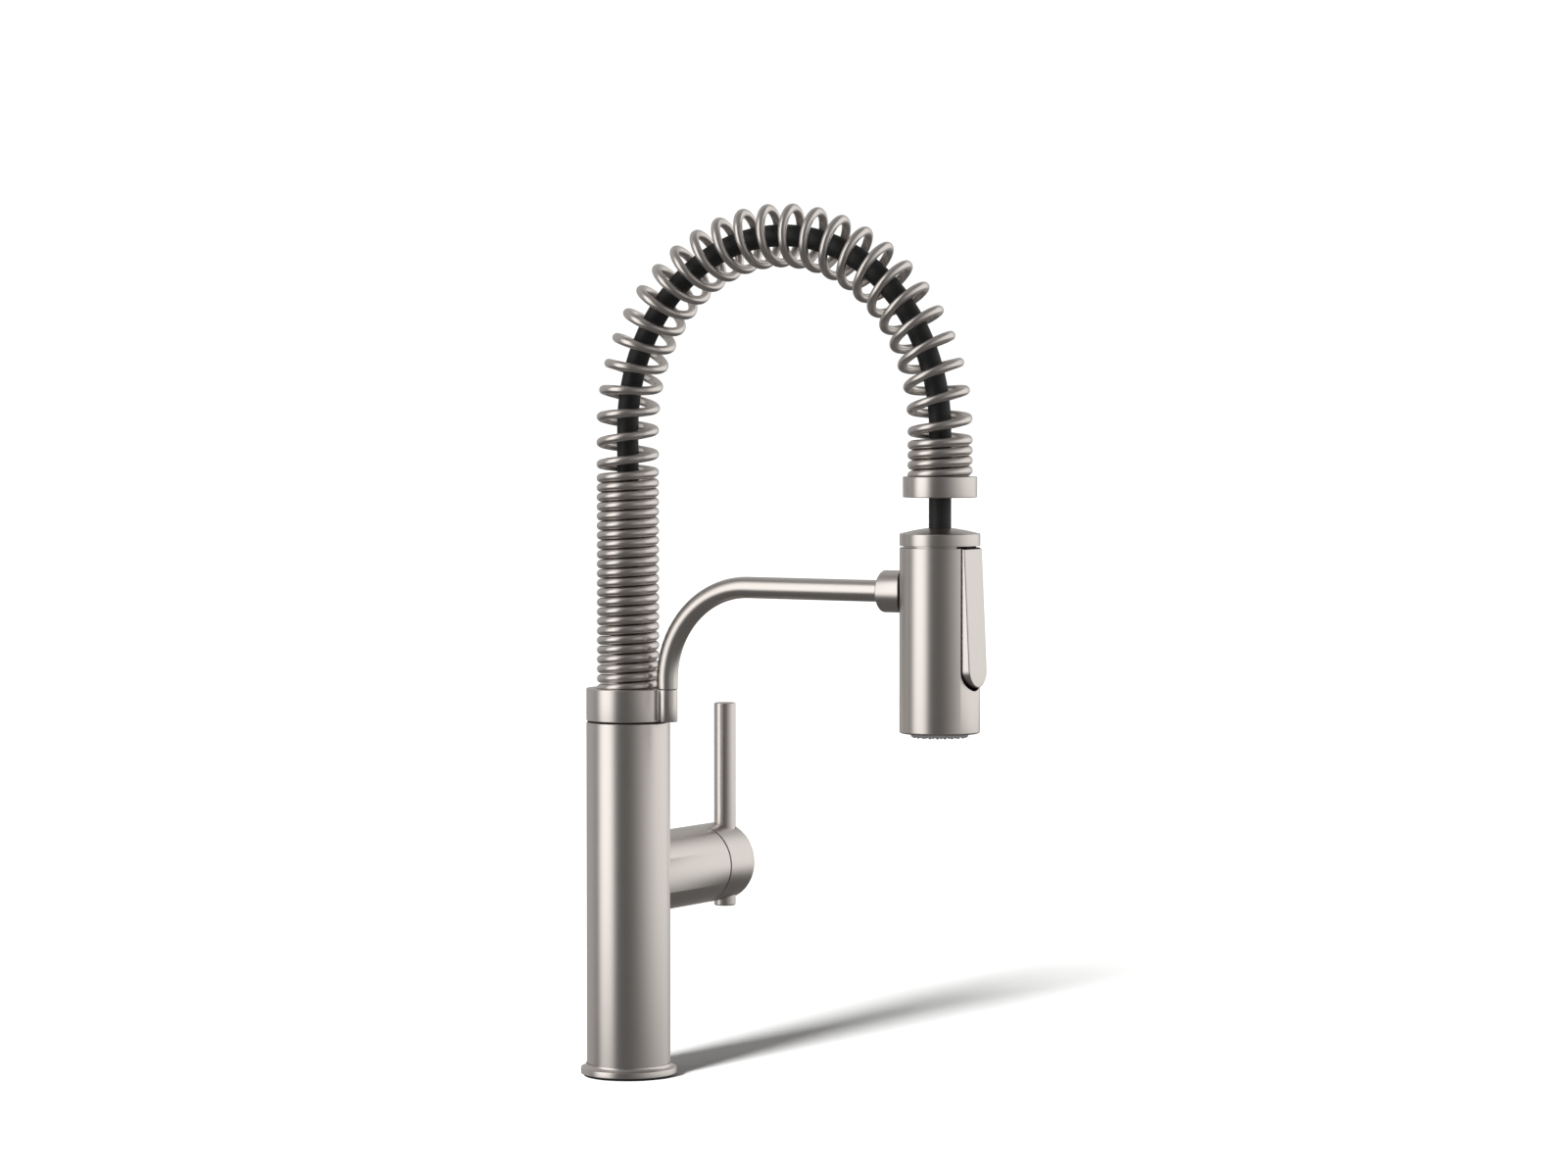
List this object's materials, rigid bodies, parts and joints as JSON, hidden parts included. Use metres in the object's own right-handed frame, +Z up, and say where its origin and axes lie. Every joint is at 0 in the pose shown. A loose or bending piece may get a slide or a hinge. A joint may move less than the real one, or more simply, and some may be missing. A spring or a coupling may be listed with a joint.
{
  "type": "pull-down kitchen faucet",
  "caption": "Deck-mounted pull-down kitchen faucet with an open spring spout, side lever, magnetic dock arm and a cylindrical sprayhead with a spray paddle.",
  "frame": {"origin": "centre of the base on the top of the counter, where the body's upright axis meets the underside of the base gasket", "axes": "+X from the body towards the sprayhead, +Y towards the lever, +Z up along the body"},
  "size_m": [0.2891, 0.1461, 0.622],
  "materials": {
    "satin_nickel": "satin brushed nickel plate, warm grey, fine circumferential brushing",
    "steel": "plain machined stainless steel",
    "brass": "machined brass",
    "black_rubber": "matte black rubber",
    "hose_black": "matte black sleeved hose",
    "black_plastic": "fine matte moulded",
    "grey_plastic": "fine matte moulded",
    "white_plastic": "satin moulded acetal",
    "ceramic": "lapped alumina"
  },
  "bodies": {
    "faucet_body": {"base_gasket": "black_rubber", "base_ring": "satin_nickel", "threaded_shank": "brass", "clamp_seal": "black_rubber", "clamp_washer": "steel", "mounting_nut": "brass", "body_tube": "satin_nickel", "valve_body": "brass", "cold_inlet": "brass", "hot_inlet": "brass", "cartridge_body": "white_plastic", "fixed_ceramic_disc": "ceramic", "cartridge_nut": "brass", "hub_dome": "satin_nickel", "riser_tube": "brass", "riser_o_ring": "black_rubber", "bearing_plate": "brass"},
    "temperature_turret": {"cartridge_turret": "white_plastic", "stem_pin": "steel"},
    "ceramic_slider": {"moving_ceramic_disc": "ceramic", "disc_carrier": "white_plastic"},
    "lever": {"lever_stem": "steel", "handle_cap": "satin_nickel", "lever_rod": "satin_nickel", "handle_set_screw": "steel"},
    "spout": {"swivel_bush": "black_plastic", "retaining_clip": "steel", "spout_collar": "satin_nickel", "spout_spring": "satin_nickel", "spout_hose": "hose_black", "hose_foot_ferrule": "steel", "spring_end_ring": "satin_nickel", "hose_guide_bush": "black_plastic", "arm_stud": "steel", "arm_set_screw": "steel", "arm_tube": "satin_nickel", "dock_holder": "satin_nickel", "dock_magnet": "steel", "dock_pad": "black_rubber"},
    "hose_end": {"hose_drop": "hose_black", "hose_crimp": "steel", "hose_swivel_ball": "brass"},
    "sprayhead": {"swivel_seal": "black_rubber", "swivel_nut": "brass", "head_cap": "satin_nickel", "head_shell": "satin_nickel", "head_core": "black_plastic", "head_magnet_plate": "steel", "check_valve": "grey_plastic", "paddle_pin": "steel", "face_ring": "black_plastic", "spray_face": "grey_plastic", "nozzle_pad": "black_rubber", "aerator": "white_plastic"},
    "paddle": {"spray_paddle": "satin_nickel"},
    "diverter": {"diverter_plunger": "white_plastic"}
  },
  "joints": [
    {"name": "lever_temperature", "type": "hinge", "parent": "faucet_body", "child": "temperature_turret", "pos_m": [0, 0.058, 0.1292], "axis": [0, 1, 0], "range_deg": [-45, 45]},
    {"name": "lever_flow", "type": "hinge", "parent": "temperature_turret", "child": "lever", "pos_m": [0, 0.058, 0.1292], "axis": [-1, 0, 0], "range_deg": [0, 18]},
    {"name": "disc_stroke", "type": "slide", "parent": "temperature_turret", "child": "ceramic_slider", "axis": [0, 0, 1], "range_m": [0, 0.0044]},
    {"name": "spout_swivel", "type": "hinge", "parent": "faucet_body", "child": "spout", "pos_m": [0, 0, 0.23], "axis": [0, 0, 1], "range_deg": [-180, 180]},
    {"name": "sprayhead_pull", "type": "slide", "parent": "spout", "child": "hose_end", "axis": [0, 0, -1], "range_m": [0, 0.19], "deforming": ["hose_drop"]},
    {"name": "sprayhead_spin", "type": "hinge", "parent": "hose_end", "child": "sprayhead", "pos_m": [0.2304, 0, 0.325], "axis": [0, 0, 1], "range_deg": [-90, 90]},
    {"name": "paddle_press", "type": "hinge", "parent": "sprayhead", "child": "paddle", "pos_m": [0.2469, 0, 0.3384], "axis": [0, 1, 0], "range_deg": [0, 4.5], "stiffness_Nm_per_rad": 2, "springref_deg": -2.86},
    {"name": "diverter_stroke", "type": "slide", "parent": "sprayhead", "child": "diverter", "axis": [-1, 0, 0], "range_m": [0, 0.0032]}
  ],
  "couplings": [
    {"joint": "disc_stroke", "follows": "lever_flow", "m_per_rad": 0.014},
    {"joint": "diverter_stroke", "follows": "paddle_press", "m_per_rad": 0.0395}
  ]
}
